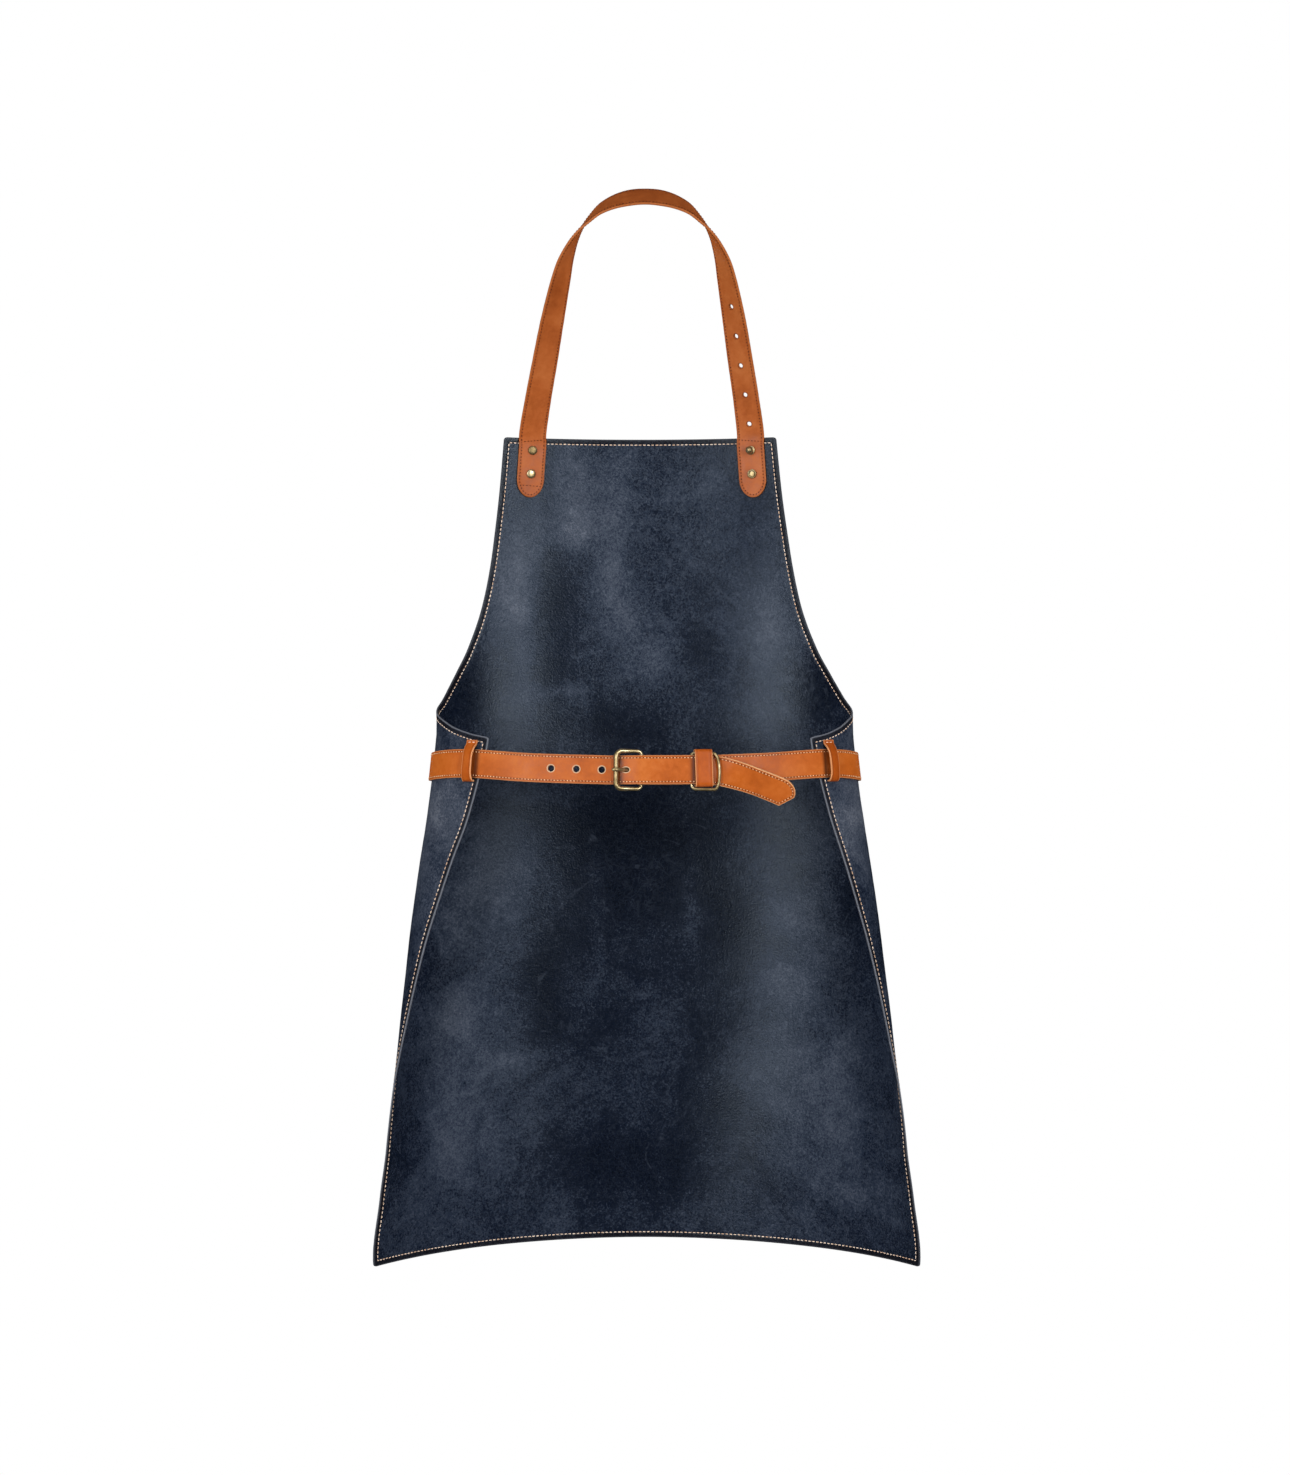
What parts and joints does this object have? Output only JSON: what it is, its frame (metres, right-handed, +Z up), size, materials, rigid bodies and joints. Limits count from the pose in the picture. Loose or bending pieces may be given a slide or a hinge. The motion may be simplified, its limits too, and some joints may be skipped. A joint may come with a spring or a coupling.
{
  "type": "grill apron",
  "caption": "Leather bib apron curved round the body, hung from a looped neck strap and closed at the back by a buckled waist belt through loops on its side flaps.",
  "frame": {"origin": "middle of the neck strap, at the back of the neck, where the apron hangs", "axes": "+Z up as worn, +Y the way that the wearer faces, +X to the wearer's right"},
  "size_m": [0.5338, 0.1749, 1.0538],
  "materials": {
    "panel_leather": "waxed, rubbed lighter in patches",
    "strap_leather": "satin, oiled",
    "belt_leather": "satin, oiled",
    "antique_brass": "antiqued, lightly worn"
  },
  "bodies": {
    "root": {"apron_panel": "panel_leather", "neck_strap": "strap_leather", "strap_rivet_left_upper": "antique_brass", "strap_rivet_left_lower": "antique_brass", "strap_stud_right_upper": "antique_brass", "strap_rivet_right_lower": "antique_brass", "waist_belt": "belt_leather", "buckle_frame": "antique_brass", "buckle_prong": "antique_brass", "belt_keeper": "belt_leather", "keeper_ring": "antique_brass", "belt_loop_left": "belt_leather", "belt_loop_right": "belt_leather"}
  },
  "joints": []
}
